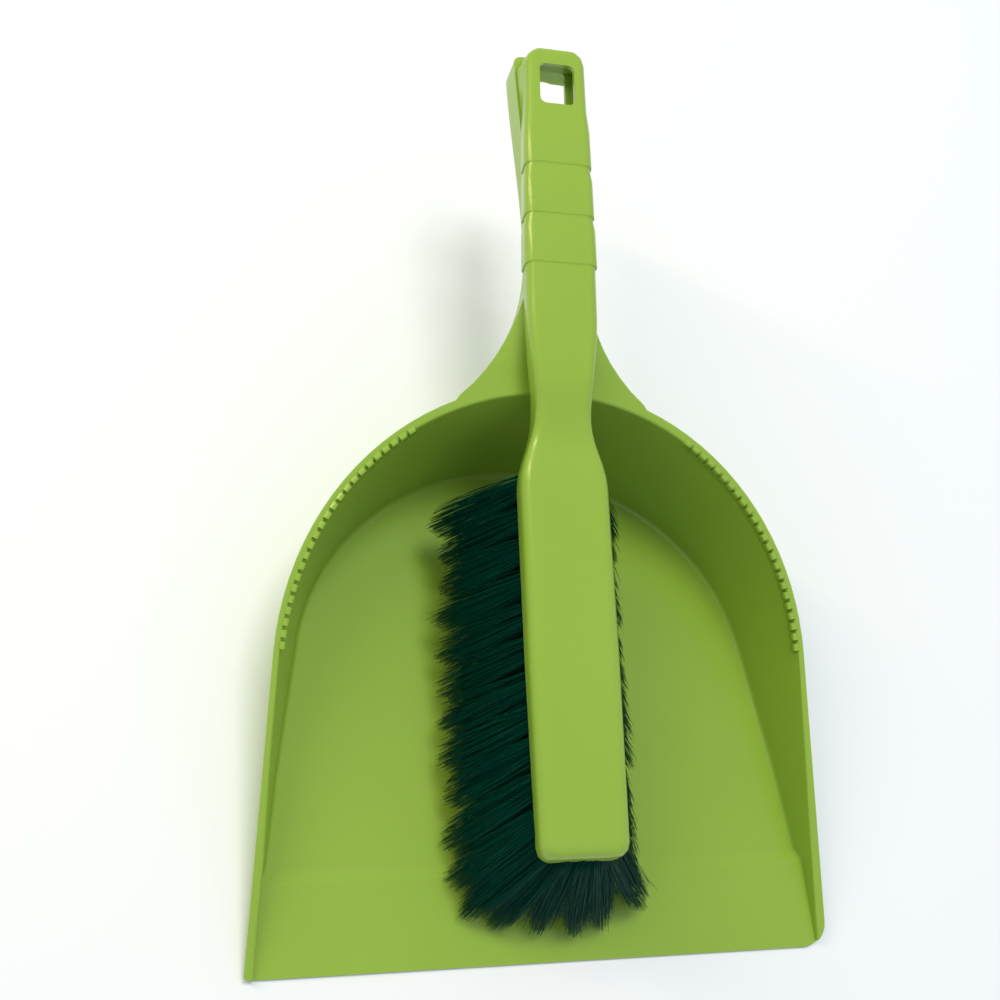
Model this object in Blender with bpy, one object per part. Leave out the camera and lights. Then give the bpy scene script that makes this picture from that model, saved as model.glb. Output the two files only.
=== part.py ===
"""Dustpan and brush set: a one-piece dustpan, a one-piece brush body clipped on its handle, and bristle tufts.

Standalone Blender 4.5 script. Metres, +Z up. X runs across the pan, Y from the lip to the handle's end.
The origin is at the bottom centre of the whole set, so every outline below, which is measured in Y from
the lip, is moved back by half the overall length through the parent empty.
"""
import math

import bmesh
import bpy
from mathutils import Matrix, Vector

MM = 0.001

# Overall
SET_NAME = "dustpan_and_brush_set"
OVERALL_LENGTH = 337.0 * MM         # lip to the end of the pan's handle
SHEET = 1.8 * MM                    # wall thickness of the pan's moulding

# Pan: rim
LIP_HALF_WIDTH = 112.5 * MM
LIP_CORNER_RIGHT = 8.0 * MM
LIP_CORNER_LEFT = 1.5 * MM
RIM_AT_LIP = 3.0 * MM               # height of the rim at the lip
RIM_SLOPE = 0.30                    # rise of the rim's plane per unit of Y
SIDE_TAPER = 7.4 * MM               # how much narrower than the lip each side is where the arch starts
RIM_ARCH_HALF_WIDTH = LIP_HALF_WIDTH - SIDE_TAPER
RIM_ARCH_START = 101.2 * MM
RIM_ARCH_RISE = 105.7 * MM
FLANGE = 3.3 * MM
FLANGE_EDGE = 2.4 * MM              # depth of the rim's outer edge
RIM_ROUNDING = 1.0 * MM

# Pan: well
WELL_FLOOR = SHEET                  # top of the floor, so the underside is at zero
WALL_SPREAD = 12.8 * MM             # lean of the wall from the well's floor out to the rim
WELL_ARCH_HALF_WIDTH = RIM_ARCH_HALF_WIDTH - WALL_SPREAD
WELL_ARCH_START = 109.5 * MM
WELL_ARCH_RISE = 85.2 * MM
WELL_FRONT = 37.5 * MM              # foot of the step behind the lip's ramp
WELL_FRONT_INSET = 8.1 * MM         # from the lip's half-width
WELL_FRONT_HALF_WIDTH = LIP_HALF_WIDTH - WELL_FRONT_INSET
WELL_FILLET = 2.2 * MM
RAMP_CREST = 33.0 * MM
RAMP_CREST_HEIGHT = 4.2 * MM
RAMP_CREST_INSET = 5.9 * MM
RAMP_CREST_HALF_WIDTH = LIP_HALF_WIDTH - RAMP_CREST_INSET
LIP_BEVEL = 10.0 * MM
LIP_BEVEL_HEIGHT = 2.0 * MM
LIP_EDGE_HEIGHT = 1.0 * MM

# Pan: comb on the rim
COMB_TEETH = 24                     # each side
COMB_FIRST_ANGLE = 5.5              # degrees round the rim's arch
COMB_LAST_ANGLE = 57.0
TOOTH_WIDTH = 2.7 * MM
TOOTH_REACH = 0.8 * MM              # past the rim's inner edge, into the well
TOOTH_ROOT = 1.4 * MM               # over the flange
TOOTH_HEIGHT = 3.2 * MM
TOOTH_PROUD = 0.25 * MM
TOOTH_NOSE = 0.75 * MM              # rounding of the tooth's edge over the well

# Pan: handle
WEB_HALF_WIDTH = 43.5 * MM          # where the rim starts to widen into the handle
WEB_LEAVING = (-14.5 * MM, 7.2 * MM)
WEB_ARRIVING = 30.0 * MM
PAN_WAIST_HALF_WIDTH = 9.4 * MM
PAN_WAIST = 260.0 * MM
PAN_END_HALF_WIDTH = 14.9 * MM
PAN_FLARE_END = OVERALL_LENGTH + 8.0 * MM
PAN_END_CORNER = 3.0 * MM
PAN_EDGE_DROP = 0.3 * MM
PAN_SKIRT = 12.0 * MM               # depth of the channel under the handle
WEB_SKIRT = 3.0 * MM
WEB_RISE_START = 207.0 * MM
WEB_RISE_END = 232.0 * MM
PAN_HOLE = (12.8 * MM, 22.0 * MM)
PAN_HOLE_CENTRE = OVERALL_LENGTH - 14.2 * MM
PAN_HOLE_CORNER = 4.6 * MM

# Both handles
HANDLE_SLOPE = 0.1915
HANDLE_REFERENCE = 205.0 * MM
BRUSH_TOP_AT_REFERENCE = 81.4 * MM
HANDLE_CLEARANCE = 0.35 * MM        # pan's handle to the brush handle that sits on it

# Brush body
HANDLE_END_STEP = 1.7 * MM          # the brush handle stops this far short of the pan's
BRUSH_END = OVERALL_LENGTH - HANDLE_END_STEP
BRUSH_TOE = 30.4 * MM
BRUSH_TOE_TOP = 55.6 * MM
BRUSH_FOLD = 179.0 * MM
BRUSH_FOLD_TOP = 72.0 * MM
BLOCK_HALF_WIDTH = 17.2 * MM
BLOCK_TOE_HALF_WIDTH = 16.4 * MM
BLOCK_SHOULDER = 163.5 * MM
BLOCK_THICKNESS = 11.0 * MM
BLOCK_EDGE = 4.5 * MM
SIDE_DRAFT = 0.4 * MM
LOWER_EDGE = 0.7 * MM
TOE_CORNER = 5.0 * MM
NECK_HALF_WIDTH = 11.0 * MM
NECK = 191.0 * MM
NECK_THICKNESS = 12.0 * MM
GRIP_HALF_WIDTH = 13.9 * MM
GRIP_START = 228.0 * MM
GRIP_TAPER_START = 248.0 * MM
GRIP_END_HALF_WIDTH = 12.1 * MM
GRIP_THICKNESS = 9.5 * MM
GRIP_EDGE = 3.5 * MM
GRIP_CORNER = 5.5 * MM
GRIP_FOOT_STEP = 0.2 * MM           # the grip's sides lean out to this far short of the pan's handle
BAND_HEIGHT = 0.6 * MM
BAND_RAMP = 9.0 * MM                # from the last band down to the handle's end
BAND_STARTS = (88.3 * MM, 68.6 * MM, 48.3 * MM)    # each band's sharp end, from the handle's end
BAND_LENGTH = 14.5 * MM
CHANNEL_WALL = 2.2 * MM
CHANNEL_FROM_END = (109.0 * MM, 4.0 * MM)
BRUSH_HOLE = (14.2 * MM, 16.8 * MM)
BRUSH_HOLE_CENTRE = BRUSH_END - 15.5 * MM
BRUSH_HOLE_CORNER = 2.4 * MM

# Bristle tufts
TUFTS_PER_ROW = 11                  # outer rows; the inner ones stand in the gaps and have one less
TUFT_FIRST = 166.0 * MM
TUFT_LAST = 45.0 * MM
TUFT_OUTER = 12.2 * MM              # rows from the middle
TUFT_INNER = 4.5 * MM
TUFT_ROWS = (("left_outer", -TUFT_OUTER, -33.0), ("left_inner", -TUFT_INNER, -20.0),
             ("right_inner", TUFT_INNER, 12.0), ("right_outer", TUFT_OUTER, 27.0))
ROW_FAN = (-0.03, -0.38)            # lean along the row, heel and toe ends, per unit of drop
TOE_TUFTS = 6
TOE_FAN = 104.0                     # degrees, first to last toe tuft
TOE_CENTRE = 42.5 * MM
TOE_RADII = (13.2 * MM, 8.6 * MM)   # of the half-oval that the toe's roots stand on
TOE_SPLAY = 31.0
TOE_CORNER_SPLAY = 6.0              # more at the toe's corners
TUFT_SIDES = 8
TUFT_ROOT_RADIUS = 1.25 * MM
TUFT_CLEARANCE = 0.3 * MM           # from a tuft's corners to the flats of its hole
TUFT_HOLE_DEPTH = 2.4 * MM
TUFT_STRAIGHT = 2.0 * MM            # below the block, so that a leaning tuft flares only outside its hole
TUFT_TIP_HEIGHT = 5.5 * MM          # of the toe's trimmed tips over the floor
TUFT_TIP_ALONG = 5.4 * MM           # half-sizes of the fanned-out tip
TUFT_TIP_ACROSS = 3.4 * MM

LIME = (0.314, 0.451, 0.052)
BRISTLE = (0.003, 0.017, 0.014)


# ---------------------------------------------------------------- scene, materials, small helpers

def clear_scene():
    for old in list(bpy.data.objects):
        bpy.data.objects.remove(old, do_unlink=True)


def collection(name):
    made = bpy.data.collections.new(name)
    bpy.context.scene.collection.children.link(made)
    return made


def principled(name, colour, roughness):
    material = bpy.data.materials.new(name)
    material.use_nodes = True
    shader = material.node_tree.nodes["Principled BSDF"]
    shader.inputs["Base Color"].default_value = (*colour, 1.0)
    shader.inputs["Roughness"].default_value = roughness
    shader.inputs["Metallic"].default_value = 0.0
    material.diffuse_color = (*colour, 1.0)
    return material


def place(bm, name, target, parent, material=None):
    """Write a bmesh to a new object, parented to the set's empty."""
    bmesh.ops.recalc_face_normals(bm, faces=bm.faces)
    mesh = bpy.data.meshes.new(name)
    bm.to_mesh(mesh)
    bm.free()
    mesh.shade_smooth()
    mesh.set_sharp_from_angle(angle=math.radians(35))
    if material:
        mesh.materials.append(material)
    made = bpy.data.objects.new(name, mesh)
    made.parent = parent
    target.objects.link(made)
    return made


def as_cutter(made):
    made.hide_render = True
    made.display_type = "WIRE"
    return made


def boolean(target, tool, operation):
    modifier = target.modifiers.new(tool.name, "BOOLEAN")
    modifier.operation = operation
    modifier.solver = "EXACT"
    modifier.object = tool


def smoothstep(value, start, end):
    t = min(max((value - start) / (end - start), 0.0), 1.0)
    return t * t * (3.0 - 2.0 * t)


def bezier(t, p0, p1, p2, p3=None):
    """Point on a quadratic (three points) or cubic (four points) Bezier curve."""
    s = 1.0 - t
    if p3 is None:
        return p0 * s * s + p1 * 2.0 * s * t + p2 * t * t
    return p0 * s ** 3 + p1 * 3.0 * s * s * t + p2 * 3.0 * s * t * t + p3 * t ** 3


def loft(bm, rings):
    """Closed body through equal rings of points, with a flat cap on each end."""
    loops = [[bm.verts.new(point) for point in ring] for ring in rings]
    count = len(loops[0])
    for near, far in zip(loops, loops[1:]):
        for i in range(count):
            j = (i + 1) % count
            bm.faces.new((near[i], near[j], far[j], far[i]))
    bm.faces.new(loops[0])
    bm.faces.new(loops[-1])


def rounded_rectangle(width, length, corner, steps=4):
    """Outline points of a rounded rectangle about the origin, in X and Y."""
    points = []
    for quarter, (sx, sy) in enumerate(((1, 1), (-1, 1), (-1, -1), (1, -1))):
        cx = sx * (width / 2 - corner)
        cy = sy * (length / 2 - corner)
        for k in range(steps + 1):
            angle = math.radians(90.0 * (quarter + k / steps))
            points.append(Vector((cx + corner * math.cos(angle), cy + corner * math.sin(angle), 0.0)))
    return points


# ---------------------------------------------------------------- heights shared by both mouldings

def rim_height(y):
    return RIM_AT_LIP + RIM_SLOPE * y


def brush_handle_top(y):
    return BRUSH_TOP_AT_REFERENCE + HANDLE_SLOPE * (y - HANDLE_REFERENCE)


def pan_handle_top(y):
    return brush_handle_top(y) - GRIP_THICKNESS - HANDLE_CLEARANCE


# ---------------------------------------------------------------- pan

def arch_tangent_angle(x, y, half_width, start, rise):
    """Angle on the elliptical arch where the straight side from (x, y) touches it."""
    a = x / half_width
    b = (start - y) / rise
    return math.acos(1.0 / math.hypot(a, b)) - math.atan2(b, a)


def arch_point(angle, half_width, start, rise):
    return Vector((half_width * math.cos(angle), start + rise * math.sin(angle), 0.0))


def ramp_height(y):
    """Top of the pan's floor along Y: lip bevel, ramp, crest, step down, well."""
    steps = ((0.0, LIP_EDGE_HEIGHT), (LIP_BEVEL, LIP_BEVEL_HEIGHT), (RAMP_CREST - 1.5 * MM, RAMP_CREST_HEIGHT),
             (RAMP_CREST, RAMP_CREST_HEIGHT), (WELL_FRONT, WELL_FLOOR))
    for (y0, z0), (y1, z1) in zip(steps, steps[1:]):
        if y <= y1:
            return z0 + (z1 - z0) * (y - y0) / (y1 - y0)
    return WELL_FLOOR


def pan_stations():
    """Matching points of the well's edge and the rim's outer edge, right half, lip to back."""
    well = (WELL_ARCH_HALF_WIDTH, WELL_ARCH_START, WELL_ARCH_RISE)
    rim = (RIM_ARCH_HALF_WIDTH, RIM_ARCH_START, RIM_ARCH_RISE)
    well_angle = arch_tangent_angle(WELL_FRONT_HALF_WIDTH, WELL_FRONT, *well)
    rim_angle = arch_tangent_angle(LIP_HALF_WIDTH, 0.0, *rim)
    well_tangent = arch_point(well_angle, *well)
    rim_tangent = arch_point(rim_angle, *rim)
    lip_well = LIP_HALF_WIDTH - FLANGE
    front = (0.0, LIP_BEVEL * 0.3, LIP_BEVEL, 22.0 * MM, RAMP_CREST - 1.5 * MM, RAMP_CREST)
    stations = []
    for y in front:
        x = lip_well + (RAMP_CREST_HALF_WIDTH - lip_well) * y / RAMP_CREST
        outer = Vector((LIP_HALF_WIDTH, 0.0, 0.0)).lerp(rim_tangent, y / rim_tangent.y)
        stations.append((Vector((x, y, ramp_height(y))), outer))
    foot = Vector((WELL_FRONT_HALF_WIDTH, WELL_FRONT, WELL_FLOOR))
    for k in range(5):
        inner = foot.lerp(Vector((well_tangent.x, well_tangent.y, WELL_FLOOR)), k / 5)
        y = WELL_FRONT + (rim_tangent.y - WELL_FRONT) * k / 5
        outer = Vector((LIP_HALF_WIDTH, 0.0, 0.0)).lerp(rim_tangent, y / rim_tangent.y)
        stations.append((inner, outer))
    arch_steps = 24
    for k in range(arch_steps + 1):
        t = k / arch_steps
        inner = arch_point(well_angle + (math.pi / 2 - well_angle) * t, *well)
        outer = arch_point(rim_angle + (math.pi / 2 - rim_angle) * t, *rim)
        inner.z = WELL_FLOOR
        stations.append((inner, outer))
    for inner, outer in stations:
        outer.z = rim_height(outer.y)
    return stations


def wall_profile(inner, outer):
    """Points from the well's edge up the wall and over the rim's inner rounding, with their undersides."""
    across = Vector((outer.x - inner.x, outer.y - inner.y, 0.0)).normalized()
    rim_inner = outer - across * FLANGE
    rim_inner.z = rim_height(rim_inner.y)
    height = rim_inner.z - inner.z
    fillet = min(WELL_FILLET, 0.4 * height)
    foot = inner + across * min(fillet, 0.3 * (rim_inner - inner).xy.length)
    up = (rim_inner - foot).normalized()
    below = Vector((inner.x, inner.y, 0.0))
    foot_below = Vector((foot.x, foot.y, 0.0)) + across * SHEET * 0.6
    corner_below = rim_inner + across * SHEET - Vector((0.0, 0.0, SHEET))
    up_below = (corner_below - foot_below).normalized()
    fillet_below = min(fillet + SHEET, 0.4 * corner_below.z)
    points = []
    for k in range(1, 4):
        points.append((bezier(k / 3, inner, foot, foot + up * fillet),
                       bezier(k / 3, below, foot_below, foot_below + up_below * fillet_below)))
    rounding = min(RIM_ROUNDING, 0.3 * height)
    rounding_below = min(0.5 * MM, 0.3 * corner_below.z)
    flange_way = (outer - rim_inner).normalized()
    for k in range(3):
        points.append((bezier(k / 2, rim_inner - up * rounding, rim_inner, rim_inner + flange_way * rounding),
                       bezier(k / 2, corner_below - up_below * rounding_below, corner_below,
                              corner_below + flange_way * rounding_below)))
    return points


def web_start():
    """Y of the rim's outer edge where the web begins."""
    reach = math.sqrt(1.0 - (WEB_HALF_WIDTH / RIM_ARCH_HALF_WIDTH) ** 2)
    return RIM_ARCH_START + RIM_ARCH_RISE * reach


def web_half_width(y):
    """Half-width in plan where the rim sweeps into the handle."""
    start = Vector((WEB_HALF_WIDTH, web_start()))
    waist = Vector((PAN_WAIST_HALF_WIDTH, PAN_WAIST))
    points = (start, start + Vector(WEB_LEAVING), waist - Vector((0.0, WEB_ARRIVING)), waist)
    low, high = 0.0, 1.0
    for _ in range(40):
        middle = (low + high) / 2
        if bezier(middle, *points).y < y:
            low = middle
        else:
            high = middle
    return bezier(low, *points).x


def pan_handle_half_width(y):
    if y < PAN_WAIST:
        return web_half_width(y)
    flare = smoothstep(y, PAN_WAIST, PAN_FLARE_END)
    width = PAN_WAIST_HALF_WIDTH + (PAN_END_HALF_WIDTH - PAN_WAIST_HALF_WIDTH) * flare
    over = y - (OVERALL_LENGTH - PAN_END_CORNER)
    if over > 0.0:
        width -= PAN_END_CORNER - math.sqrt(max(PAN_END_CORNER ** 2 - over ** 2, 0.0))
    return width


def web_height(y, share):
    """Top of the web and handle at y; share is the distance from the middle, 0 to 1."""
    rise = smoothstep(y, WEB_RISE_START, WEB_RISE_END)
    middle = rim_height(y) * (1.0 - rise) + pan_handle_top(y) * rise
    settle = smoothstep(y, WEB_RISE_START + 5.0 * MM, WEB_RISE_END + 18.0 * MM)
    edge = rim_height(y) * (1.0 - settle) + (middle - PAN_EDGE_DROP) * settle
    power = 2.0 + 4.0 * settle
    return middle - (middle - edge) * abs(share) ** power


def skirt_depth(y):
    return WEB_SKIRT + (PAN_SKIRT - WEB_SKIRT) * smoothstep(y, WEB_RISE_START, WEB_RISE_END + 18.0 * MM)


def add_point(bm, under, top, below):
    """Vertex of the upper skin, with the place of its twin on the lower skin."""
    vert = bm.verts.new(top)
    under[vert] = Vector(below)
    return vert


def close_sheet(bm, under):
    """Lower skin under every face, joined to the upper one round the open edges."""
    edges = [edge for edge in bm.edges if edge.is_boundary]
    faces = list(bm.faces)
    twins = {vert: bm.verts.new(below) for vert, below in under.items()}
    for face in faces:
        bm.faces.new([twins[vert] for vert in reversed(face.verts)])
    for edge in edges:
        near, far = edge.verts
        bm.faces.new((near, far, twins[far], twins[near]))


def pan_shell(bm):
    """The whole pan as one closed shell: floor, walls, rim, web, handle and its skirt."""
    stations = pan_stations()
    half = len(stations) - 1
    flip = Vector((-1.0, 1.0, 1.0))
    loop = stations + [(inner * flip, outer * flip) for inner, outer in reversed(stations[:-1])]
    under = {}
    chains = []
    for inner, outer in loop:
        chain = [add_point(bm, under, inner, (inner.x, inner.y, 0.0))]
        chain += [add_point(bm, under, top, below) for top, below in wall_profile(inner, outer)]
        chains.append(chain)
    for near, far in zip(chains, chains[1:]):
        for k in range(len(near) - 1):
            bm.faces.new((near[k], near[k + 1], far[k + 1], far[k]))
    floor_faces(bm, under, [chain[0] for chain in chains], half)
    last = len(loop) - 1
    first_web = next(i for i in range(half) if loop[i][1].x < WEB_HALF_WIDTH)
    flange = {}
    for i, (_, outer) in enumerate(loop):
        if i <= first_web or i >= last - first_web:
            flange[i] = add_point(bm, under, outer, outer - Vector((0.0, 0.0, FLANGE_EDGE)))
    for i in range(last):
        if i in flange and i + 1 in flange:
            bm.faces.new((chains[i][-1], flange[i], flange[i + 1], chains[i + 1][-1]))
    root = [chains[i][-1] for i in range(first_web, last - first_web + 1)]
    web_faces(bm, under, root, flange[first_web], flange[last - first_web])
    close_sheet(bm, under)


def floor_faces(bm, under, edge, half):
    """Rows of faces across the floor between matching points of its two sides."""
    columns = 8
    rows = []
    for k in range(half):
        right, left = edge[k], edge[-1 - k]
        row = [right]
        for c in range(1, columns):
            point = right.co.lerp(left.co, c / columns)
            row.append(add_point(bm, under, point, (point.x, point.y, 0.0)))
        row.append(left)
        rows.append(row)
    for near, far in zip(rows, rows[1:]):
        for c in range(columns):
            bm.faces.new((near[c], near[c + 1], far[c + 1], far[c]))
    for c in range(columns):
        bm.faces.new((rows[-1][c], rows[-1][c + 1], edge[half]))


def web_rows():
    """Y of each row of faces from the rim to the handle's end."""
    start = web_start()
    straight = OVERALL_LENGTH - PAN_END_CORNER
    steps = 24
    rows = [start + step * MM for step in (4.0, 9.0)]
    rows += [start + 14.0 * MM + (straight - start - 14.0 * MM) * k / steps for k in range(steps + 1)]
    rows += [straight + PAN_END_CORNER * math.sin(math.radians(angle)) for angle in (30, 60, 90)]
    return rows


def web_faces(bm, under, root, right_corner, left_corner):
    """Web and handle as rows of faces that start from the rim's inner edge, and the skirt round them."""
    count = len(root) - 1
    reach = root[0].co.x
    run_in = 20.0 * MM
    rows = [root]
    for n, y in enumerate(web_rows()):
        fade = max(0.0, 1.0 - (n + 1) / 5.0)
        width = pan_handle_half_width(y)
        row = []
        for vert in root:
            share = vert.co.x / reach
            at = y + (vert.co.y - root[0].co.y) * fade
            top = web_height(at, share)
            pull = SHEET * max(0.0, (at - OVERALL_LENGTH + run_in) / run_in)
            below = ((width - SHEET) * share, at - pull, top - SHEET)
            row.append(add_point(bm, under, (width * share, at, top), below))
        rows.append(row)
    for near, far in zip(rows, rows[1:]):
        for c in range(count):
            bm.faces.new((near[c], far[c], far[c + 1], near[c + 1]))
    bm.faces.new((root[0], right_corner, rows[1][0]))
    bm.faces.new((root[-1], rows[1][-1], left_corner))
    edge = [row[0] for row in rows[1:]] + rows[-1][1:-1] + [row[-1] for row in reversed(rows[1:])]
    lowered = []
    for vert in edge:
        low = vert.co.z - skirt_depth(vert.co.y)
        below = under[vert]
        lowered.append(add_point(bm, under, (vert.co.x, vert.co.y, low), (below.x, below.y, low)))
    bm.faces.new((right_corner, lowered[0], edge[0]))
    bm.faces.new((left_corner, edge[-1], lowered[-1]))
    for k in range(len(edge) - 1):
        bm.faces.new((edge[k], lowered[k], lowered[k + 1], edge[k + 1]))


def comb_teeth(target, parent):
    """All the teeth on the rim's inner edge, as one cutter-like body to join to the pan."""
    bm = bmesh.new()
    rim = (RIM_ARCH_HALF_WIDTH, RIM_ARCH_START, RIM_ARCH_RISE)
    for side in (1.0, -1.0):
        for k in range(COMB_TEETH):
            angle = COMB_FIRST_ANGLE + (COMB_LAST_ANGLE - COMB_FIRST_ANGLE) * k / (COMB_TEETH - 1)
            here = arch_point(math.radians(angle), *rim)
            ahead = arch_point(math.radians(angle + 0.5), *rim)
            along = Vector((ahead.x - here.x, ahead.y - here.y, RIM_SLOPE * (ahead.y - here.y))).normalized()
            inward = Vector((-along.y, along.x, 0.0)).normalized()
            up = inward.cross(along) * -1.0
            if up.z < 0.0:
                up = -up
            here.z = rim_height(here.y)
            middle = here + inward * (FLANGE + (TOOTH_REACH - TOOTH_ROOT) / 2) + up * (TOOTH_PROUD - TOOTH_HEIGHT / 2)
            frame = Matrix((inward, along, up)).transposed().to_4x4()
            frame.translation = middle
            size = Matrix.Diagonal((TOOTH_REACH + TOOTH_ROOT, TOOTH_WIDTH, TOOTH_HEIGHT, 1.0))
            flip = Matrix.Diagonal((side, 1.0, 1.0, 1.0))
            made = bmesh.ops.create_cube(bm, size=1.0, matrix=flip @ frame @ size)
            inner_top = [e for e in bm.edges if all(v in made["verts"] for v in e.verts)]
            inner_top = [e for e in inner_top if is_tooth_nose(e, flip @ frame)]
            bmesh.ops.bevel(bm, geom=inner_top, offset=TOOTH_NOSE, segments=3, profile=0.5, affect="EDGES")
    return as_cutter(place(bm, "comb_teeth_tool", target, parent))


def is_tooth_nose(edge, frame):
    """True for the tooth's upper edge that points into the well."""
    back = frame.inverted()
    a, b = (back @ v.co for v in edge.verts)
    return min(a.x, b.x) > 0.0 and min(a.z, b.z) > 0.0


def handle_hole_tool(name, target, parent, size, centre, corner, top):
    """Prism of a hanging hole, square to the handles."""
    bm = bmesh.new()
    outline = rounded_rectangle(*size, corner)
    depth = 20.0 * MM
    loft(bm, [[point + Vector((0.0, 0.0, z)) for point in outline] for z in (-depth, depth)])
    turn = Matrix.Rotation(math.atan(HANDLE_SLOPE), 4, "X")
    bm.transform(Matrix.Translation((0.0, centre, top)) @ turn)
    return as_cutter(place(bm, name, target, parent))


def side_slope():
    """How far the pan's straight side comes in per unit of Y."""
    return (LIP_HALF_WIDTH - RIM_ARCH_HALF_WIDTH) / RIM_ARCH_START


def lip_reach(radius):
    """Greatest half-width that is left once the lip's corner is rounded."""
    slope = side_slope()
    return LIP_HALF_WIDTH - radius * (slope + math.hypot(1.0, slope) - 1.0)


def lip_corner_tool(name, target, parent, side, radius):
    """Block with a round bite, which takes the square corner off the lip."""
    bm = bmesh.new()
    lean = math.atan(side_slope())
    turn = math.pi / 2 - lean
    centre = Vector((lip_reach(radius) - radius, radius, 0.0))
    over = 3.0 * MM
    outline = [centre + Vector((math.cos(-math.pi / 2 + (turn + lean * 2) * k / 12),
                                math.sin(-math.pi / 2 + (turn + lean * 2) * k / 12), 0.0)) * radius for k in range(13)]
    outline += [Vector((LIP_HALF_WIDTH + over, outline[-1].y, 0.0)), Vector((LIP_HALF_WIDTH + over, -over, 0.0)),
                Vector((outline[0].x, -over, 0.0))]
    rings = [[Vector((point.x * side, point.y, z)) for point in outline] for z in (-over, 12.0 * MM)]
    loft(bm, rings)
    return as_cutter(place(bm, name, target, parent))


def build_pan(parts, cutters, parent, material):
    bm = bmesh.new()
    pan_shell(bm)
    pan = place(bm, "dustpan", parts, parent, material)
    boolean(pan, comb_teeth(cutters, parent), "UNION")
    hole_top = pan_handle_top(PAN_HOLE_CENTRE)
    boolean(pan, handle_hole_tool("pan_hole_tool", cutters, parent, PAN_HOLE, PAN_HOLE_CENTRE,
                                  PAN_HOLE_CORNER, hole_top), "DIFFERENCE")
    boolean(pan, lip_corner_tool("lip_corner_right_tool", cutters, parent, 1.0, LIP_CORNER_RIGHT), "DIFFERENCE")
    boolean(pan, lip_corner_tool("lip_corner_left_tool", cutters, parent, -1.0, LIP_CORNER_LEFT), "DIFFERENCE")
    return pan


# ---------------------------------------------------------------- brush body

def brush_top(y):
    """Height of the brush's top along Y: level-ish block, rise over the rim, straight handle."""
    block = BRUSH_TOE_TOP + (BRUSH_FOLD_TOP - BRUSH_TOE_TOP) * (y - BRUSH_TOE) / (BRUSH_FOLD - BRUSH_TOE)
    lift = smoothstep(y, BRUSH_FOLD - 2.0 * MM, HANDLE_REFERENCE - 1.0 * MM)
    return block * (1.0 - lift) + brush_handle_top(y) * lift


def grip_half_width(y):
    """Half-width of the grip's straight taper, before its end corners are rounded."""
    share = (y - GRIP_TAPER_START) / (BRUSH_END - GRIP_TAPER_START)
    return GRIP_HALF_WIDTH + (GRIP_END_HALF_WIDTH - GRIP_HALF_WIDTH) * share


def grip_flare(y):
    """How far the foot of the grip's side leans out, to meet the pan's handle where that is wider."""
    if y < GRIP_TAPER_START:
        return 0.0
    return max(0.0, pan_handle_half_width(y) - GRIP_FOOT_STEP - grip_half_width(y))


def brush_half_width(y):
    if y < BLOCK_SHOULDER:
        share = (y - BRUSH_TOE) / (BLOCK_SHOULDER - BRUSH_TOE)
        width = BLOCK_TOE_HALF_WIDTH + (BLOCK_HALF_WIDTH - BLOCK_TOE_HALF_WIDTH) * min(1.0, 2.0 * share)
        under = BRUSH_TOE + TOE_CORNER - y
        if under > 0.0:
            width -= TOE_CORNER - math.sqrt(max(TOE_CORNER ** 2 - under ** 2, 0.0))
        return width
    if y < NECK:
        return BLOCK_HALF_WIDTH + (NECK_HALF_WIDTH - BLOCK_HALF_WIDTH) * smoothstep(y, BLOCK_SHOULDER, NECK)
    if y < GRIP_TAPER_START:
        return NECK_HALF_WIDTH + (GRIP_HALF_WIDTH - NECK_HALF_WIDTH) * smoothstep(y, NECK, GRIP_START)
    width = grip_half_width(y)
    over = y - (BRUSH_END - GRIP_CORNER)
    if over > 0.0:
        width -= GRIP_CORNER - math.sqrt(max(GRIP_CORNER ** 2 - over ** 2, 0.0))
    return width


def brush_thickness(y):
    to_neck = smoothstep(y, BLOCK_SHOULDER, NECK - 4.0 * MM)
    to_grip = smoothstep(y, NECK + 12.0 * MM, GRIP_START - 4.0 * MM)
    thick = BLOCK_THICKNESS + (NECK_THICKNESS - BLOCK_THICKNESS) * to_neck
    return thick + (GRIP_THICKNESS - NECK_THICKNESS) * to_grip


def brush_edge(y):
    return BLOCK_EDGE + (GRIP_EDGE - BLOCK_EDGE) * smoothstep(y, BLOCK_SHOULDER, NECK)


def end_drop(y):
    """Rounding of the top edge at the toe and at the handle's end."""
    drop = 0.0
    toe = BRUSH_TOE + BLOCK_EDGE * 0.8 - y
    end = y - (BRUSH_END - GRIP_EDGE * 0.6)
    for over, radius in ((toe, BLOCK_EDGE * 0.8), (end, GRIP_EDGE * 0.6)):
        if over > 0.0:
            drop = radius - math.sqrt(max(radius ** 2 - over ** 2, 0.0))
    return drop


def brush_ring(y, proud=0.0):
    """Section of the brush body at y: flat top, round upper edges, sides with draft, small lower edges."""
    width = brush_half_width(y) + proud
    top = brush_top(y) + proud - end_drop(y)
    bottom = brush_top(y) - brush_thickness(y)
    radius = min(brush_edge(y), 0.45 * width)
    draft = min(SIDE_DRAFT, 0.1 * width)
    lower = min(LOWER_EDGE, 0.1 * width)
    half = [Vector((0.0, y, top))]
    for k in range(5):
        angle = math.radians(90.0 - 22.5 * k)
        half.append(Vector((width - radius + radius * math.cos(angle), y, top - radius + radius * math.sin(angle))))
    foot = width - draft + grip_flare(y)
    half.append(Vector((foot, y, bottom + lower)))
    half.append(Vector((foot - lower, y, bottom)))
    left = [Vector((-point.x, point.y, point.z)) for point in reversed(half[1:])]
    return half + left


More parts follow.
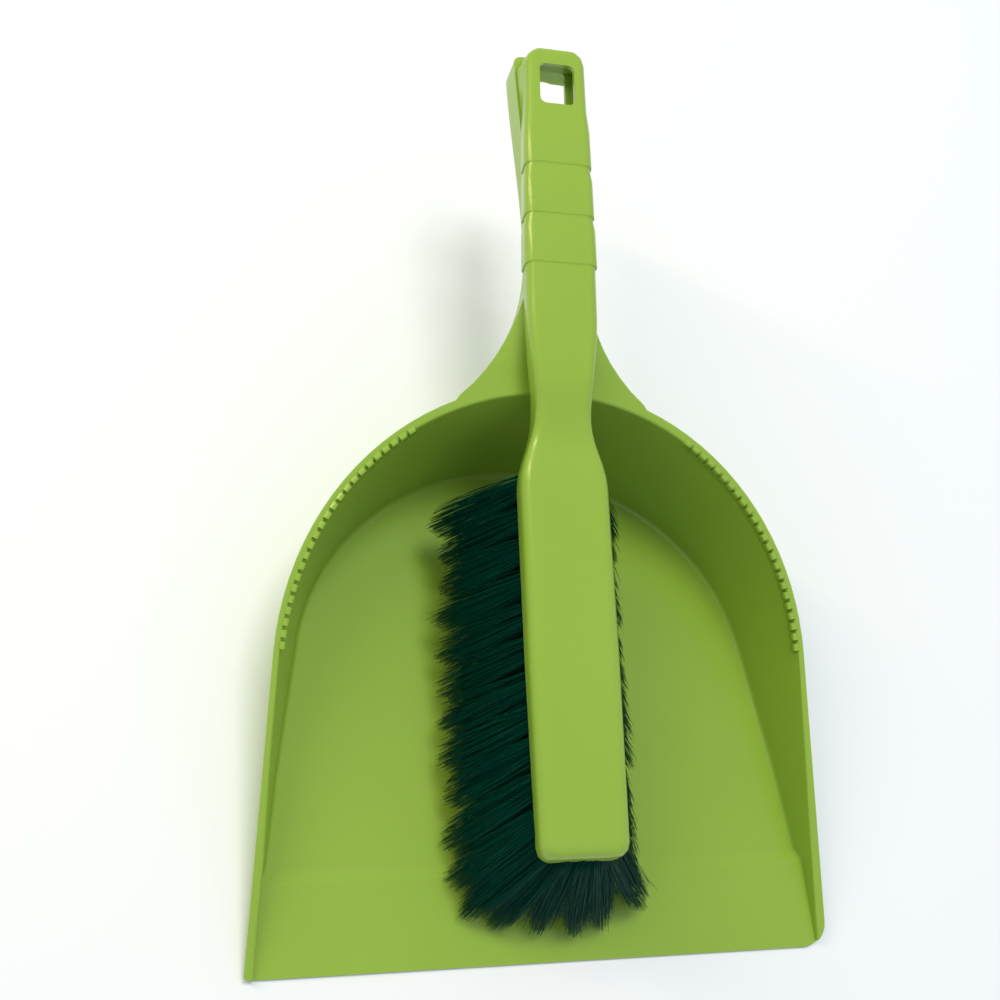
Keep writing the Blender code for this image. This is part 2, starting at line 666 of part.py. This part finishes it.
def brush_stations():
    """(y, how proud of the base) for each ring, with a sharp step at the lip side of each band."""
    toe = [BRUSH_TOE + TOE_CORNER * (1.0 - math.cos(math.radians(a))) for a in (12, 35, 60, 90)]
    block = [BRUSH_TOE + TOE_CORNER + (BLOCK_SHOULDER - BRUSH_TOE - TOE_CORNER) * k / 6 for k in range(1, 7)]
    neck = [BLOCK_SHOULDER + (GRIP_START - BLOCK_SHOULDER) * k / 16 for k in range(1, 17)]
    stations = [(y, 0.0) for y in toe + block + neck]
    sharp = 0.15 * MM
    for start in BAND_STARTS:
        low = BRUSH_END - start
        stations += [(low - sharp, 0.0), (low, BAND_HEIGHT), (low + BAND_LENGTH, BAND_HEIGHT)]
    stations.append((BRUSH_END - BAND_STARTS[-1] + BAND_LENGTH + BAND_RAMP, 0.0))
    rounding = BRUSH_END - GRIP_CORNER
    stations.append((rounding - 6.0 * MM, 0.0))
    stations += [(rounding + GRIP_CORNER * math.sin(math.radians(a)), 0.0) for a in (0, 30, 55, 78)]
    return stations


def channel_tool(target, parent):
    """Inside of the hollow handle, open below."""
    bm = bmesh.new()
    rings = []
    for k in range(13):
        y = BRUSH_END - CHANNEL_FROM_END[0] + (CHANNEL_FROM_END[0] - CHANNEL_FROM_END[1]) * k / 12
        width = brush_half_width(y) - CHANNEL_WALL
        top = brush_top(y) - CHANNEL_WALL
        low = top - 2.0 * GRIP_THICKNESS
        rings.append([Vector(p) for p in ((width, y, low), (width, y, top - 1.5 * MM), (width - 1.5 * MM, y, top),
                                          (1.5 * MM - width, y, top), (-width, y, top - 1.5 * MM), (-width, y, low))])
    loft(bm, rings)
    return as_cutter(place(bm, "channel_tool", target, parent))


def tuft_root(x, y):
    """Point on the block's underside."""
    return Vector((x, y, brush_top(y) - brush_thickness(y)))


def tuft_table():
    """Name, root, direction and row direction of every tuft."""
    table = []
    for row, x, splay in TUFT_ROWS:
        lean = math.tan(math.radians(splay))
        gap = 0.5 if abs(x) < TUFT_OUTER else 0.0
        for k in range(TUFTS_PER_ROW if gap == 0.0 else TUFTS_PER_ROW - 1):
            share = (k + gap) / (TUFTS_PER_ROW - 1)
            root = tuft_root(x, TUFT_FIRST + (TUFT_LAST - TUFT_FIRST) * share)
            fan = ROW_FAN[0] + (ROW_FAN[1] - ROW_FAN[0]) * share ** 2
            table.append((f"tuft_{row}_{k + 1:02d}", root, Vector((lean, fan, -1.0)).normalized(),
                          Vector((0.0, 1.0, 0.0))))
    for k in range(TOE_TUFTS):
        turn = math.radians(-TOE_FAN / 2 + TOE_FAN * k / (TOE_TUFTS - 1))
        out = Vector((math.sin(turn), -math.cos(turn), 0.0))
        root = tuft_root(out.x * TOE_RADII[0], TOE_CENTRE + out.y * TOE_RADII[1])
        corner = (math.degrees(turn) * 2.0 / TOE_FAN) ** 2
        splay = math.radians(TOE_SPLAY + TOE_CORNER_SPLAY * corner)
        way = out * math.sin(splay) - Vector((0.0, 0.0, math.cos(splay)))
        table.append((f"tuft_toe_{k + 1}", root, way, Vector((out.y, -out.x, 0.0))))
    return table


def tuft_trim():
    """Drop from the block's underside to the tips, the same for every tuft."""
    return tuft_root(0.0, TOE_CENTRE - TOE_RADII[1]).z - TUFT_TIP_HEIGHT


def tuft_frame(root, way, along):
    """Matrix with Z down the tuft and X along its row."""
    across = way.cross(along).normalized()
    frame = Matrix((way.cross(across) * -1.0, across, way)).transposed().to_4x4()
    frame.translation = root
    return frame


def tuft_hole_tool(target, parent):
    bm = bmesh.new()
    radius = (TUFT_ROOT_RADIUS + TUFT_CLEARANCE) / math.cos(math.pi / TUFT_SIDES)
    proud = 3.0 * MM
    for _, root, way, along in tuft_table():
        shift = Matrix.Translation((0.0, 0.0, (proud - TUFT_HOLE_DEPTH) / 2))
        bmesh.ops.create_cone(bm, cap_ends=True, segments=TUFT_SIDES, radius1=radius, radius2=radius,
                              depth=TUFT_HOLE_DEPTH + proud, matrix=tuft_frame(root, way, along) @ shift)
    return as_cutter(place(bm, "tuft_hole_tool", target, parent))


def build_brush_body(parts, cutters, parent, material):
    bm = bmesh.new()
    loft(bm, [brush_ring(y, proud) for y, proud in brush_stations()])
    body = place(bm, "brush_body", parts, parent, material)
    boolean(body, channel_tool(cutters, parent), "DIFFERENCE")
    top = brush_top(BRUSH_HOLE_CENTRE)
    boolean(body, handle_hole_tool("brush_hole_tool", cutters, parent, BRUSH_HOLE, BRUSH_HOLE_CENTRE,
                                   BRUSH_HOLE_CORNER, top), "DIFFERENCE")
    boolean(body, tuft_hole_tool(cutters, parent), "DIFFERENCE")
    return body


def build_tufts(parts, parent, material):
    """One flared body for each tuft, rooted in its hole and trimmed level with the rest."""
    for name, root, way, along in tuft_table():
        length = tuft_trim() / -way.z
        bm = bmesh.new()
        rings = []
        levels = ((TUFT_CLEARANCE - TUFT_HOLE_DEPTH, 0.0), (TUFT_STRAIGHT, 0.0), (length * 0.35, 0.42),
                  (length * 0.94, 1.0), (length, 0.86))
        for z, share in levels:
            a = TUFT_ROOT_RADIUS + (TUFT_TIP_ALONG - TUFT_ROOT_RADIUS) * share
            b = TUFT_ROOT_RADIUS + (TUFT_TIP_ACROSS - TUFT_ROOT_RADIUS) * share
            turns = [math.tau * k / TUFT_SIDES for k in range(TUFT_SIDES)]
            rings.append([Vector((a * math.cos(turn), b * math.sin(turn), z)) for turn in turns])
        loft(bm, rings)
        bm.transform(tuft_frame(root, way, along))
        place(bm, name, parts, parent, material)


def main():
    clear_scene()
    parts = collection(SET_NAME)
    cutters = collection("cutters")
    origin = bpy.data.objects.new("set_origin", None)
    lean_right = (lip_reach(LIP_CORNER_LEFT) - lip_reach(LIP_CORNER_RIGHT)) / 2
    origin.location = (lean_right, -OVERALL_LENGTH / 2, 0.0)
    parts.objects.link(origin)
    lime = principled("lime_green_polypropylene", LIME, 0.35)
    fibre = principled("dark_green_bristle", BRISTLE, 0.45)
    build_pan(parts, cutters, origin, lime)
    build_brush_body(parts, cutters, origin, lime)
    build_tufts(parts, origin, fibre)


main()
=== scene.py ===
"""Dustpan and brush set: the looks of a lime-green dustpan with its hand brush lying over the handle.

The two mouldings are refined from the frame's own solids, and every bristle tuft is made as fine filaments.
"""

import math
import random

import bmesh
import bpy
from bpy.props import FloatProperty, FloatVectorProperty, IntProperty, PointerProperty
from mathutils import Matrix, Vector


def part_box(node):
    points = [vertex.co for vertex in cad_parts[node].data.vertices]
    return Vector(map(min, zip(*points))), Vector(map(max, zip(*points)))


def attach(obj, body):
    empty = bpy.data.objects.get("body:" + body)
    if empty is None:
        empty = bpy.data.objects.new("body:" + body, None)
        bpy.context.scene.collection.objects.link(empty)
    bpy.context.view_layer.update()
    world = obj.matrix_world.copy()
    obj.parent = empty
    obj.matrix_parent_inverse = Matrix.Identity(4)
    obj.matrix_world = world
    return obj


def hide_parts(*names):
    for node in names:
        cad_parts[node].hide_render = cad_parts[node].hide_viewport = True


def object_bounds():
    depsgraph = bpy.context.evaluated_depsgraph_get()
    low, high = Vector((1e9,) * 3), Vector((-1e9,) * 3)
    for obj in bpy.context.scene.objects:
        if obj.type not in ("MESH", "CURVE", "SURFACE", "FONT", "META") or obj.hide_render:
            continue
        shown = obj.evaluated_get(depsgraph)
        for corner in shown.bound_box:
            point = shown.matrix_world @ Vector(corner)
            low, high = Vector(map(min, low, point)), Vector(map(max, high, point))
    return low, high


bl_info = {
    "name": "Dustpan and Brush Set",
    "version": (1, 0, 0),
    "blender": (4, 5, 0),
    "location": "View3D > Sidebar > Dustpan Set",
    "description": "Finishes a moulded dustpan and its hand brush, with bristle filaments and a plain studio",
    "category": "Object",
}

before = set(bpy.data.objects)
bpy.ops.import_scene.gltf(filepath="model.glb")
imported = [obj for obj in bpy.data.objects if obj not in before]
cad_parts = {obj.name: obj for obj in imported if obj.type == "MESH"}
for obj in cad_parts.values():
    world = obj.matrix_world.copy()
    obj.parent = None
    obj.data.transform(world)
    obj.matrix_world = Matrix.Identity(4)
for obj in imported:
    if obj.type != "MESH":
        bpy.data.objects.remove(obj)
CAD_BOX = [list(corner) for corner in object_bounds()]

MM = 0.001

# Finishing of the mouldings' solids
MERGE_DISTANCE = 0.002 * MM
FLAT_ANGLE = math.radians(0.2)      # neighbouring facets flatter than this become one face

# Bristles
TIP_RING = 8                        # corners round a tuft's solid
FILAMENT_STEPS = 5
FILAMENT_TAPER = [0.85, 0.35]       # of the diameter, at the last two points
BRISTLE_FLOOR = 4.6 * MM            # filaments stay above the ramp's crest

# Studio
FLOOR_DROP = 0.2 * MM
KEY_PLACE = (0.28, 0.72, 2.6)
KEY_AIM = (0.0, 0.0, 0.03)
KEY_SIZE = (1.0, 0.8)
STRIP_PLACE = (-0.85, 0.5, 0.9)
STRIP_AIM = (0.0, 0.0, 0.05)
STRIP_SIZE = (0.05, 0.9)
CAMERA_LENS = 47.8
CAMERA_ACROSS = -0.15245
CAMERA_BEFORE_LIP = 0.0234
CAMERA_HEIGHT = 0.4995
CAMERA_TURN = (22.981, -14.73, -4.16)    # degrees


# ---------------------------------------------------------------- helpers

def linear(hex_value):
    """Linear colour, with alpha, of an sRGB hex value."""
    channels = [int(hex_value[i:i + 2], 16) / 255 for i in (0, 2, 4)]
    return [c / 12.92 if c <= 0.04045 else ((c + 0.055) / 1.055) ** 2.4 for c in channels] + [1.0]


def add_node(tree, kind, values=None, links=None, **settings):
    """Node of a kind with its settings, its input values and the sockets that feed its inputs."""
    node = tree.nodes.new(kind)
    for name, value in settings.items():
        setattr(node, name, value)
    for name, value in (values or {}).items():
        node.inputs[name].default_value = value
    for name, socket in (links or {}).items():
        tree.links.new(socket, node.inputs[name])
    return node


def new_material(name):
    """Empty node material with its output and Principled shader joined."""
    material = bpy.data.materials.new(name)
    material.use_nodes = True
    tree = material.node_tree
    tree.nodes.clear()
    shader = add_node(tree, "ShaderNodeBsdfPrincipled")
    add_node(tree, "ShaderNodeOutputMaterial", links={"Surface": shader.outputs["BSDF"]})
    return material, tree, shader


def per_metre(size_mm):
    """Texture scale that gives a pattern of this size on Object coordinates."""
    return 1.0 / (size_mm * MM)


def to_mesh_object(bm, name):
    """New mesh object at the origin from a bmesh, which is freed."""
    mesh = bpy.data.meshes.new(name)
    bm.to_mesh(mesh)
    bm.free()
    made = bpy.data.objects.new(name, mesh)
    bpy.context.scene.collection.objects.link(made)
    return made


# ---------------------------------------------------------------- materials

def injection_moulded_polypropylene(settings):
    """Polypropylene, injection moulded and mould-polished: a saturated colour with a soft waxy gloss, faint
    flow marks from the gate and a very fine orange peel that breaks up the highlights."""
    material, tree, shader = new_material("injection_moulded_polypropylene")
    coords = add_node(tree, "ShaderNodeTexCoord").outputs["Object"]
    flow = add_node(tree, "ShaderNodeTexNoise", {"Scale": per_metre(60.0), "Detail": 2.0, "Distortion": 0.6},
                    {"Vector": coords})
    colour = add_node(tree, "ShaderNodeMix", {"A": settings.deep, "B": settings.pale},
                      {"Factor": flow.outputs["Fac"]}, data_type="RGBA")
    tree.links.new(colour.outputs["Result"], shader.inputs["Base Color"])
    streak_scale = (per_metre(6.0), per_metre(70.0), per_metre(70.0))
    streak_map = add_node(tree, "ShaderNodeMapping", {"Scale": streak_scale}, {"Vector": coords})
    streaks = add_node(tree, "ShaderNodeTexNoise", {"Scale": 1.0, "Detail": 3.0},
                       {"Vector": streak_map.outputs["Vector"]})
    rough = add_node(tree, "ShaderNodeMapRange", {"From Min": 0.3, "From Max": 0.7, "To Min": settings.gloss,
                                                  "To Max": settings.gloss + 0.07},
                     {"Value": streaks.outputs["Fac"]})
    tree.links.new(rough.outputs["Result"], shader.inputs["Roughness"])
    peel = add_node(tree, "ShaderNodeTexNoise", {"Scale": per_metre(1.1), "Detail": 2.0}, {"Vector": coords})
    bump = add_node(tree, "ShaderNodeBump", {"Strength": 0.25, "Distance": 0.04 * MM},
                    {"Height": peel.outputs["Fac"]})
    tree.links.new(bump.outputs["Normal"], shader.inputs["Normal"])
    shader.inputs["IOR"].default_value = 1.49
    shader.inputs["Subsurface Weight"].default_value = 0.12
    shader.inputs["Subsurface Radius"].default_value = (0.6, 1.0, 0.15)
    shader.inputs["Subsurface Scale"].default_value = 1.5 * MM
    return material


def extruded_pvc_filament(settings):
    """PVC bristle, drawn as round filament and crimped: nearly black green with a dull sheen, no two
    filaments quite alike."""
    material, tree, shader = new_material("extruded_pvc_filament")
    coords = add_node(tree, "ShaderNodeTexCoord").outputs["Object"]
    strand = add_node(tree, "ShaderNodeTexNoise", {"Scale": per_metre(0.7), "Detail": 1.0}, {"Vector": coords})
    share = add_node(tree, "ShaderNodeMapRange", {"From Min": 0.35, "From Max": 0.75},
                     {"Value": strand.outputs["Fac"]})
    colour = add_node(tree, "ShaderNodeMix", {"A": settings.dark, "B": settings.light},
                      {"Factor": share.outputs["Result"]}, data_type="RGBA")
    tree.links.new(colour.outputs["Result"], shader.inputs["Base Color"])
    rough = add_node(tree, "ShaderNodeMapRange", {"To Min": 0.32, "To Max": 0.5},
                     {"Value": strand.outputs["Fac"]})
    tree.links.new(rough.outputs["Result"], shader.inputs["Roughness"])
    shader.inputs["IOR"].default_value = 1.53
    shader.inputs["Specular IOR Level"].default_value = 0.2
    shader.inputs["Specular Tint"].default_value = linear("66FFDD")
    return material


def matt_paper(settings):
    """Studio background paper: matt, pale and very slightly uneven."""
    material, tree, shader = new_material("matt_background_paper")
    coords = add_node(tree, "ShaderNodeTexCoord").outputs["Object"]
    fibre = add_node(tree, "ShaderNodeTexNoise", {"Scale": per_metre(2.5), "Detail": 3.0}, {"Vector": coords})
    bump = add_node(tree, "ShaderNodeBump", {"Strength": 0.05, "Distance": 0.02 * MM},
                    {"Height": fibre.outputs["Fac"]})
    tree.links.new(bump.outputs["Normal"], shader.inputs["Normal"])
    shader.inputs["Base Color"].default_value = settings.paper
    shader.inputs["Roughness"].default_value = 0.9
    return material


# ---------------------------------------------------------------- settings

class MouldingSettings(bpy.types.PropertyGroup):
    pale: FloatVectorProperty(name="Pale lime", description="Colour where the plastic ran thin", subtype="COLOR",
                              size=4, min=0.0, max=1.0, default=linear("9BBA42"))
    deep: FloatVectorProperty(name="Deep lime", description="Colour where the plastic ran thick", subtype="COLOR",
                              size=4, min=0.0, max=1.0, default=linear("93B43C"))
    gloss: FloatProperty(name="Roughness", description="Roughness of the polished mould", subtype="FACTOR",
                         min=0.0, max=1.0, default=0.19)
    crease: FloatProperty(name="Crease angle", description="Edges sharper than this stay crisp",
                          subtype="ANGLE", default=math.radians(38.0))


class BristleSettings(bpy.types.PropertyGroup):
    count: IntProperty(name="Filaments", description="Filaments in each tuft", min=1, default=230)
    diameter: FloatProperty(name="Diameter", description="Diameter of one filament", unit="LENGTH",
                            default=0.30 * MM)
    root: FloatProperty(name="Root radius", description="Radius of a tuft where it leaves the block",
                        unit="LENGTH", default=4.2 * MM)
    fan: FloatProperty(name="Fan", description="Spread of a row's tufts at the tips, of their solid's",
                       default=1.25)
    toe_fan: FloatProperty(name="Toe fan", description="The same for the tufts round the toe", default=0.95)
    point: FloatProperty(name="Point", description="How much shorter a tuft is at its sides than in its middle",
                         subtype="FACTOR", min=0.0, max=1.0, default=0.16)
    sway: FloatProperty(name="Sway", description="How far a whole tuft's tips stray from their place",
                        unit="LENGTH", default=0.9 * MM)
    strays: FloatProperty(name="Strays", description="Share of filaments that have come away from their tuft",
                          subtype="FACTOR", min=0.0, max=1.0, default=0.07)
    dark: FloatVectorProperty(name="Dark", description="Colour of most filaments", subtype="COLOR", size=4,
                              min=0.0, max=1.0, default=linear("003029"))
    light: FloatVectorProperty(name="Light", description="Colour of the palest filaments", subtype="COLOR",
                               size=4, min=0.0, max=1.0, default=linear("004A36"))


class StudioSettings(bpy.types.PropertyGroup):
    paper: FloatVectorProperty(name="Paper", description="Colour of the floor", subtype="COLOR", size=4,
                               min=0.0, max=1.0, default=linear("FAFAFA"))
    extent: FloatProperty(name="Extent", description="Side of the floor", unit="LENGTH", default=8.0)
    key: FloatProperty(name="Key light", description="Power of the large lamp overhead", unit="POWER",
                       default=32.0)
    strip: FloatProperty(name="Strip light", description="Power of the narrow lamp on the left", unit="POWER",
                         default=5.0)
    sky: FloatProperty(name="Surround", description="Strength of the white surround", default=0.57)


SETTINGS = (("set_mouldings", MouldingSettings), ("set_bristles", BristleSettings),
            ("set_studio", StudioSettings))


# ---------------------------------------------------------------- mouldings

def moulding(node, body, material, crease):
    """Smooth copy of a moulding's solid, in place of its loose triangles."""
    bm = bmesh.new()
    bm.from_mesh(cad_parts[node].data)
    bmesh.ops.remove_doubles(bm, verts=bm.verts, dist=MERGE_DISTANCE)
    bmesh.ops.dissolve_limit(bm, angle_limit=FLAT_ANGLE, verts=bm.verts, edges=bm.edges)
    piece = to_mesh_object(bm, f"{node}_moulding")
    piece.data.shade_smooth()
    piece.data.set_sharp_from_angle(angle=crease)
    piece.data.materials.append(material)
    normals = piece.modifiers.new("weighted_normals", "WEIGHTED_NORMAL")
    normals.keep_sharp = True
    normals.weight = 100
    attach(piece, body)
    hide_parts(node)
    return piece


class OBJECT_OT_dustpan_moulding(bpy.types.Operator):
    """Finish the dustpan's moulding"""

    bl_idname = "object.dustpan_moulding"
    bl_label = "Dustpan Moulding"

    def execute(self, context):
        settings = context.scene.set_mouldings
        moulding("dustpan", "pan", injection_moulded_polypropylene(settings), settings.crease)
        return {"FINISHED"}


class OBJECT_OT_brush_moulding(bpy.types.Operator):
    """Finish the brush's block, neck and grip"""

    bl_idname = "object.brush_moulding"
    bl_label = "Brush Moulding"

    def execute(self, context):
        settings = context.scene.set_mouldings
        material = bpy.data.materials["injection_moulded_polypropylene"]
        moulding("brush_body", "brush", material, settings.crease)
        return {"FINISHED"}


# ---------------------------------------------------------------- bristles

def tuft_shape(node):
    """Root, direction, length, and the two half-sizes of the tip as vectors, of a tuft's solid."""
    points = {tuple(round(c, 6) for c in v.co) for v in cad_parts[node].data.vertices}
    points = sorted((Vector(p) for p in points), key=lambda p: -p.z)
    ring = points[:TIP_RING]
    root = sum(ring, Vector()) / len(ring)
    way = (sum(points, Vector()) / len(points) - root).normalized()
    length = max((p - root).dot(way) for p in points)
    offsets = [p - root - way * (p - root).dot(way) for p in points]
    along = max(offsets, key=lambda o: o.length)
    across = way.cross(along.normalized())
    across = across * max(abs(o.dot(across)) for o in offsets)
    return root, way, length, along, across


def add_filament(curve, points, radii):
    spline = curve.splines.new("POLY")
    spline.points.add(len(points) - 1)
    for point, place, radius in zip(spline.points, points, radii):
        point.co = (*place, 1.0)
        point.radius = radius


def add_tuft(curve, node, settings, fan, draw, floor):
    """Filaments of one tuft: side by side along the row, longest in the middle, so that it ends in a point."""
    root, way, length, along, across = tuft_shape(node)
    along_way = along.normalized()
    across_way = across.normalized()
    length *= 1.0 + draw.gauss(0.0, 0.02)
    sway = Vector(draw.gauss(0.0, settings.sway) for _ in range(3))
    for _ in range(settings.count):
        u = draw.uniform(-1.0, 1.0)
        v = draw.uniform(-1.0, 1.0)
        start = root + (along_way * u + across_way * v) * settings.root
        trim = length * (1.03 - settings.point * abs(u) ** 1.5 - 0.04 * v * v + draw.uniform(-0.06, 0.03))
        spread = fan + draw.gauss(0.0, 0.06)
        if draw.random() < settings.strays:
            spread += draw.uniform(0.1, 0.6)
        end = root + way * trim + (along * u + across * v) * spread + sway
        end += Vector(draw.gauss(0.0, 0.5) for _ in range(3)) * MM
        bow = root + way * trim * 0.5 + (along * u + across * v) * max(spread, fan) * 0.95
        crimp = Vector(draw.gauss(0.0, 0.22) for _ in range(3)) * MM
        points = []
        for k in range(FILAMENT_STEPS + 1):
            t = k / FILAMENT_STEPS
            place = start * (1 - t) ** 2 + bow * 2 * t * (1 - t) + end * t ** 2
            place += crimp * math.sin(t * math.pi * 3.0)
            place.z = max(place.z, floor)
            points.append(place)
        add_filament(curve, points, [1.0] * (FILAMENT_STEPS - 1) + FILAMENT_TAPER)


def bristle_row(name, nodes, settings, fan, material, seed):
    """All the filaments of a row of tufts as one mesh."""
    draw = random.Random(seed)
    curve = bpy.data.curves.new(name, "CURVE")
    curve.dimensions = "3D"
    curve.bevel_depth = settings.diameter / 2
    curve.bevel_resolution = 0
    curve.use_fill_caps = True
    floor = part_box("dustpan")[0][2] + BRISTLE_FLOOR
    for node in nodes:
        add_tuft(curve, node, settings, fan, draw, floor)
    wire = bpy.data.objects.new(name, curve)
    bpy.context.scene.collection.objects.link(wire)
    context = bpy.context.evaluated_depsgraph_get()
    mesh = bpy.data.meshes.new_from_object(wire.evaluated_get(context))
    bpy.data.objects.remove(wire)
    bpy.data.curves.remove(curve)
    bm = bmesh.new()
    bm.from_mesh(mesh)
    bpy.data.meshes.remove(mesh)
    bmesh.ops.remove_doubles(bm, verts=bm.verts, dist=0.001 * MM)
    piece = to_mesh_object(bm, name)
    piece.data.shade_smooth()
    piece.data.materials.clear()
    piece.data.materials.append(material)
    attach(piece, "brush")
    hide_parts(*nodes)
    return piece


class OBJECT_OT_bristle_rows(bpy.types.Operator):
    """Fill every tuft of the brush with filaments, row by row"""

    bl_idname = "object.bristle_rows"
    bl_label = "Bristle Rows"

    def execute(self, context):
        settings = context.scene.set_bristles
        material = extruded_pvc_filament(settings)
        rows = ("left_outer", "left_inner", "right_inner", "right_outer", "toe")
        for seed, row in enumerate(rows):
            nodes = sorted(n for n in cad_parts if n.startswith(f"tuft_{row}_"))
            fan = settings.toe_fan if row == "toe" else settings.fan
            bristle_row(f"bristles_{row}", nodes, settings, fan, material, seed)
        return {"FINISHED"}


# ---------------------------------------------------------------- studio

def soft_lamp(name, place, aim, size, power):
    data = bpy.data.lights.new(name, "AREA")
    data.shape = "RECTANGLE"
    data.size = size[0]
    data.size_y = size[1]
    data.energy = power
    lamp = bpy.data.objects.new(name, data)
    lamp.location = place
    lamp.rotation_euler = (Vector(aim) - Vector(place)).to_track_quat("-Z", "Y").to_euler()
    bpy.context.scene.collection.objects.link(lamp)
    return lamp


class OBJECT_OT_studio_stage(bpy.types.Operator):
    """Pale floor, soft light and the camera"""

    bl_idname = "object.studio_stage"
    bl_label = "Studio Stage"

    def execute(self, context):
        settings = context.scene.set_studio
        bm = bmesh.new()
        bmesh.ops.create_grid(bm, x_segments=8, y_segments=8, size=settings.extent / 2)
        bmesh.ops.translate(bm, verts=bm.verts, vec=(0.0, 0.0, -FLOOR_DROP))
        floor = to_mesh_object(bm, "studio_floor")
        floor.data.materials.append(matt_paper(settings))
        key = soft_lamp("key_overhead", KEY_PLACE, KEY_AIM, KEY_SIZE, settings.key)
        key.visible_glossy = False
        strip = soft_lamp("strip_left", STRIP_PLACE, STRIP_AIM, STRIP_SIZE, settings.strip)
        strip.data.color = linear("FFF3B0")[:3]
        world = bpy.data.worlds.new("white_surround")
        world.use_nodes = True
        background = world.node_tree.nodes["Background"]
        background.inputs["Color"].default_value = linear("E6F1FF")
        background.inputs["Strength"].default_value = settings.sky
        context.scene.world = world
        context.scene.view_settings.view_transform = "Standard"
        data = bpy.data.cameras.new("camera")
        data.lens = CAMERA_LENS
        camera = bpy.data.objects.new("camera", data)
        camera.location = Vector((CAMERA_ACROSS, CAD_BOX[0][1] - CAMERA_BEFORE_LIP, CAMERA_HEIGHT))
        camera.rotation_euler = [math.radians(a) for a in CAMERA_TURN]
        context.scene.collection.objects.link(camera)
        context.scene.camera = camera
        return {"FINISHED"}


# ---------------------------------------------------------------- panel and registration

OPERATORS = (OBJECT_OT_dustpan_moulding, OBJECT_OT_brush_moulding, OBJECT_OT_bristle_rows,
             OBJECT_OT_studio_stage)


class VIEW3D_PT_dustpan_set(bpy.types.Panel):
    """Sizes, colours and steps of the dustpan and brush set"""

    bl_idname = "VIEW3D_PT_dustpan_set"
    bl_label = "Dustpan Set"
    bl_space_type = "VIEW_3D"
    bl_region_type = "UI"
    bl_category = "Dustpan Set"

    def draw(self, context):
        for name, group in SETTINGS:
            box = self.layout.box()
            for prop in group.__annotations__:
                box.prop(getattr(context.scene, name), prop)
        for operator in OPERATORS:
            self.layout.operator(operator.bl_idname)


def register():
    for name, group in SETTINGS:
        bpy.utils.register_class(group)
        setattr(bpy.types.Scene, name, PointerProperty(type=group))
    for operator in OPERATORS:
        bpy.utils.register_class(operator)
    bpy.utils.register_class(VIEW3D_PT_dustpan_set)


def unregister():
    bpy.utils.unregister_class(VIEW3D_PT_dustpan_set)
    for operator in reversed(OPERATORS):
        bpy.utils.unregister_class(operator)
    for name, group in reversed(SETTINGS):
        delattr(bpy.types.Scene, name)
        bpy.utils.unregister_class(group)


def main():
    register()
    bpy.ops.object.dustpan_moulding()
    bpy.ops.object.brush_moulding()
    bpy.ops.object.bristle_rows()
    bpy.ops.object.studio_stage()


if __name__ == "__main__":
    main()
